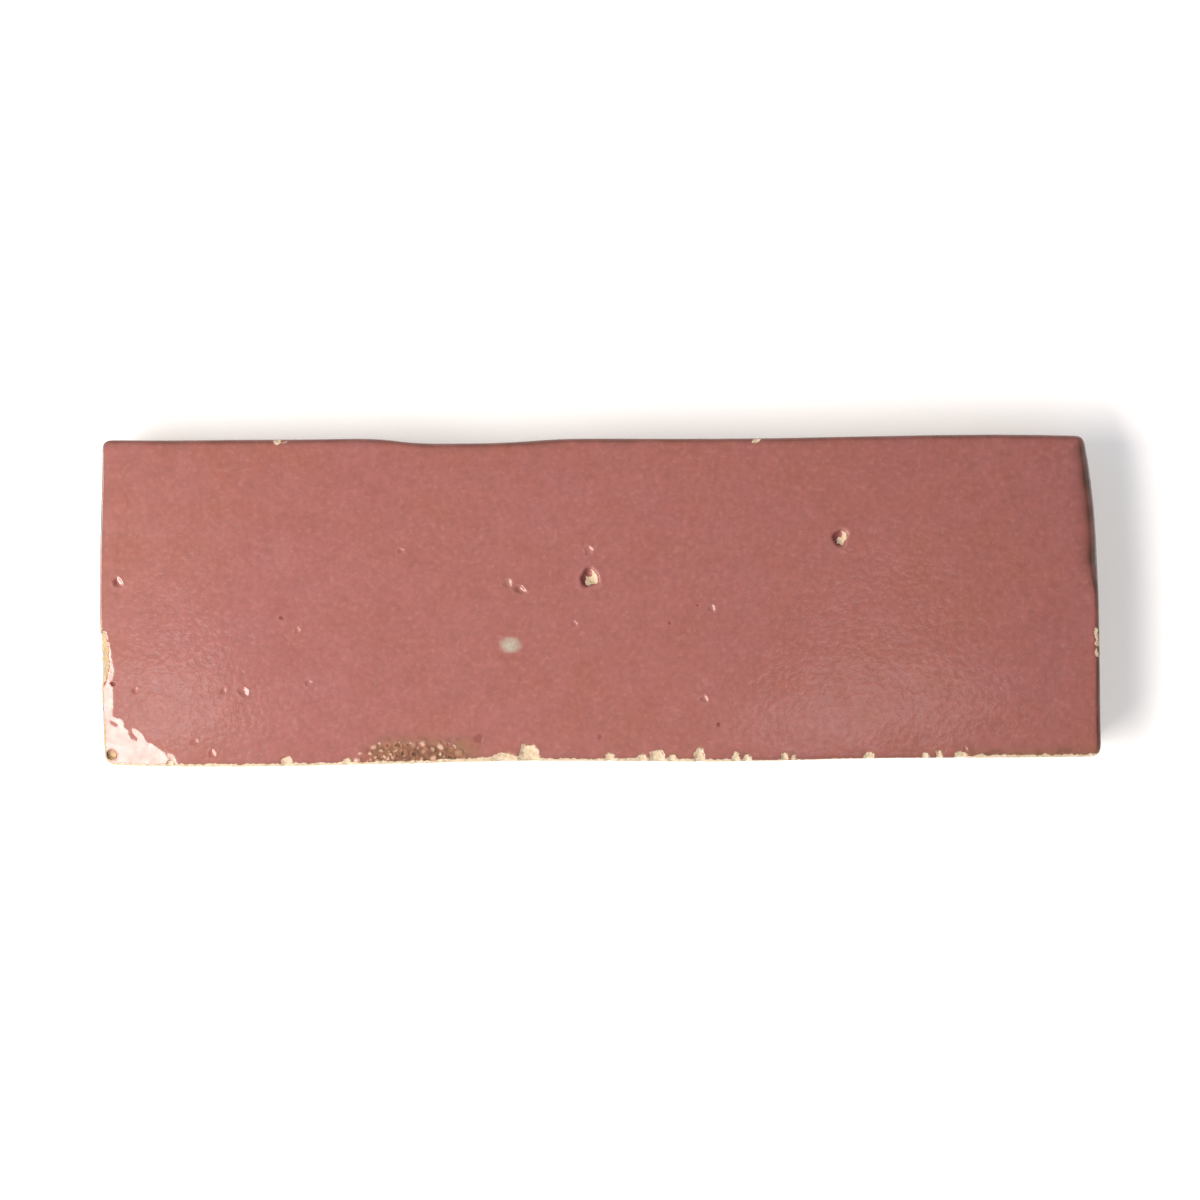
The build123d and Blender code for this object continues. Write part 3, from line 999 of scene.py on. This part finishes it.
def grain_tree(material):
    """Geometry Nodes that strew small uneven grains over the part of a mesh that an attribute marks."""
    tree = bpy.data.node_groups.new("Grains", "GeometryNodeTree")
    sockets = (
        ("Geometry", "NodeSocketGeometry"),
        ("Where", "NodeSocketString"),
        ("Density", "NodeSocketFloat"),
        ("Smallest", "NodeSocketFloat"),
        ("Largest", "NodeSocketFloat"),
        ("Seed", "NodeSocketInt"),
    )
    for name, kind in sockets:
        tree.interface.new_socket(name, in_out="INPUT", socket_type=kind)
    tree.interface.new_socket("Geometry", in_out="OUTPUT", socket_type="NodeSocketGeometry")
    base, where, density, smallest, largest, seed = (
        add_node(tree, "NodeGroupInput", output=number) for number in range(len(sockets))
    )
    mark = add_node(tree, "GeometryNodeInputNamedAttribute", {"Name": where}, data_type="FLOAT")
    density = add_node(tree, "ShaderNodeMath", {0: density, 1: mark}, operation="MULTIPLY")
    spread = {"Mesh": base, "Density": density, "Seed": seed}
    points = add_node(tree, "GeometryNodeDistributePointsOnFaces", spread)
    ball = add_node(tree, "GeometryNodeMeshUVSphere", {"Segments": 7, "Rings": 5, "Radius": 1.0})
    sizes = {"Min": smallest, "Max": largest, "Seed": seed}
    scale = add_node(tree, "FunctionNodeRandomValue", sizes, data_type="FLOAT_VECTOR")
    turns = {"Min": (0.0, 0.0, 0.0), "Max": (6.0, 6.0, 6.0), "Seed": seed}
    turn = add_node(tree, "FunctionNodeRandomValue", turns, data_type="FLOAT_VECTOR")
    balls = {"Points": points, "Instance": ball, "Rotation": turn, "Scale": scale}
    strewn = add_node(tree, "GeometryNodeInstanceOnPoints", balls)
    strewn = add_node(tree, "GeometryNodeRealizeInstances", {"Geometry": strewn})
    strewn = add_node(tree, "GeometryNodeSetMaterial", {"Geometry": strewn, "Material": material})
    add_node(tree, "NodeGroupOutput", {"Geometry": strewn})
    return tree


# Operators, one for each piece or group of like pieces and one for the stage


class ZELLIGE_OT_tile(bpy.types.Operator):
    """Build the glazed tile over its CAD solid"""

    bl_idname = "zellige.tile"
    bl_label = "Glazed tile"

    def execute(self, context):
        form = context.scene.zellige_form
        sizes = SimpleNamespace(**{name: getattr(form, name) / MM for name in form.__annotations__})
        points, faces, kinds, values = build_tile(sizes)
        mesh = bpy.data.meshes.new("glazed_tile")
        mesh.from_pydata((points * MM).tolist(), [], faces)
        for name, value in values.items():
            mesh.attributes.new(name, "FLOAT", "POINT").data.foreach_set("value", value.astype(np.float32))
        mesh.materials.append(glaze_material(context.scene.zellige_colours))
        mesh.materials.append(clay_material(context.scene.zellige_colours))
        mesh.polygons.foreach_set("material_index", kinds)
        mesh.shade_smooth()
        mesh.set_sharp_from_angle(angle=math.radians(50))
        tile = bpy.data.objects.new("glazed_tile", mesh)
        context.scene.collection.objects.link(tile)
        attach(tile, BODY)
        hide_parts(NODE)
        return {"FINISHED"}


class ZELLIGE_OT_grains(bpy.types.Operator):
    """Strew grains over the boiled glaze and the bare flanks"""

    bl_idname = "zellige.grains"
    bl_label = "Loose grains"

    def execute(self, context):
        tile = bpy.data.objects["glazed_tile"]
        froth = froth_material(context.scene.zellige_colours)

        # Grains as (name, attribute, material, number to the square millimetre, smallest, largest, seed)
        for name, where, material, per_square_mm, smallest, largest, seed in (
            ("boiled_grains", "frothy", froth, 0.35, 0.06, 0.16, 3),
            ("flank_grains", "sandy", tile.data.materials[1], 0.45, 0.05, 0.18, 5),
        ):
            tree = grain_tree(material)
            holder = bpy.data.objects.new(name, tile.data)
            context.scene.collection.objects.link(holder)
            modifier = holder.modifiers.new("Grains", "NODES")
            modifier.node_group = tree
            inputs = {
                "Where": where,
                "Density": per_square_mm / MM**2,
                "Smallest": smallest * MM,
                "Largest": largest * MM,
                "Seed": seed,
            }
            for item in tree.interface.items_tree:
                if item.in_out == "INPUT" and item.name in inputs:
                    modifier[item.identifier] = inputs[item.name]
            seen = holder.evaluated_get(context.evaluated_depsgraph_get())
            mesh = bpy.data.meshes.new_from_object(seen)
            holder.modifiers.remove(modifier)
            if not mesh.polygons:
                raise RuntimeError(f"no grains on the {where} part")
            holder.data = mesh
            mesh.shade_smooth()
            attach(holder, BODY)
        return {"FINISHED"}


class ZELLIGE_OT_stage(bpy.types.Operator):
    """Lay the floor and set the light and the camera"""

    bl_idname = "zellige.stage"
    bl_label = "Stage"

    def execute(self, context):
        scene = context.scene
        mesh = bpy.data.meshes.new("floor")
        corners = [(x * FLOOR_REACH, y * FLOOR_REACH, 0) for x, y in ((-1, -1), (1, -1), (1, 1), (-1, 1))]
        mesh.from_pydata(corners, [], [(0, 1, 2, 3)])
        mesh.materials.append(floor_material(scene.zellige_colours))
        floor = bpy.data.objects.new("floor", mesh)
        scene.collection.objects.link(floor)

        # A bright room with a dark ceiling, so that the gloss mirrors little from straight above
        scene.world = bpy.data.worlds.new("Studio")
        scene.world.use_nodes = True
        tree = scene.world.node_tree
        background = tree.nodes["Background"]
        background.inputs["Color"].default_value = linear(ROOM_COLOUR)
        up = add_node(tree, "ShaderNodeSeparateXYZ", {0: add_node(tree, "ShaderNodeTexCoord")}, output=2)
        room = {
            "Value": up,
            "From Min": CEILING_START,
            "From Max": CEILING_FULL,
            "To Min": ROOM_STRENGTH,
            "To Max": CEILING_STRENGTH,
        }
        tree.links.new(add_node(tree, "ShaderNodeMapRange", room), background.inputs["Strength"])
        scene.view_settings.view_transform = "Standard"

        for name, place, size, power, colour in LAMPS:
            light = bpy.data.lights.new(name, "AREA")
            light.shape = "RECTANGLE"
            light.size, light.size_y = size
            light.energy = power
            light.color = linear(colour)[:3]
            holder = bpy.data.objects.new(name, light)
            holder.location = place
            holder.rotation_euler = Vector(place).to_track_quat("Z", "Y").to_euler()
            scene.collection.objects.link(holder)

        camera = bpy.data.cameras.new("camera")
        camera.lens = CAMERA_LENS_MM
        holder = bpy.data.objects.new("camera", camera)
        holder.location = (0, 0, CAMERA_HEIGHT)
        holder.rotation_euler = (0, 0, math.radians(CAMERA_TURN_DEG))
        scene.collection.objects.link(holder)
        scene.camera = holder
        return {"FINISHED"}


class ZELLIGE_PT_sidebar(bpy.types.Panel):
    """Lists the tile's sizes, colours, pieces and stage"""

    bl_idname = "ZELLIGE_PT_sidebar"
    bl_label = "Zellige tile"
    bl_space_type = "VIEW_3D"
    bl_region_type = "UI"
    bl_category = "Zellige Tile"

    def draw(self, context):
        for group in (context.scene.zellige_form, context.scene.zellige_colours):
            for name in group.__annotations__:
                self.layout.prop(group, name)
        for operator in (ZELLIGE_OT_tile, ZELLIGE_OT_grains, ZELLIGE_OT_stage):
            self.layout.operator(operator.bl_idname)


CLASSES = (
    ZelligeForm,
    ZelligeColours,
    ZELLIGE_OT_tile,
    ZELLIGE_OT_grains,
    ZELLIGE_OT_stage,
    ZELLIGE_PT_sidebar,
)


def register():
    for cls in CLASSES:
        bpy.utils.register_class(cls)
    bpy.types.Scene.zellige_form = bpy.props.PointerProperty(type=ZelligeForm)
    bpy.types.Scene.zellige_colours = bpy.props.PointerProperty(type=ZelligeColours)


def unregister():
    del bpy.types.Scene.zellige_colours
    del bpy.types.Scene.zellige_form
    for cls in reversed(CLASSES):
        bpy.utils.unregister_class(cls)


def main():
    register()
    bpy.ops.zellige.tile()
    bpy.ops.zellige.grains()
    bpy.ops.zellige.stage()


if __name__ == "__main__":
    main()
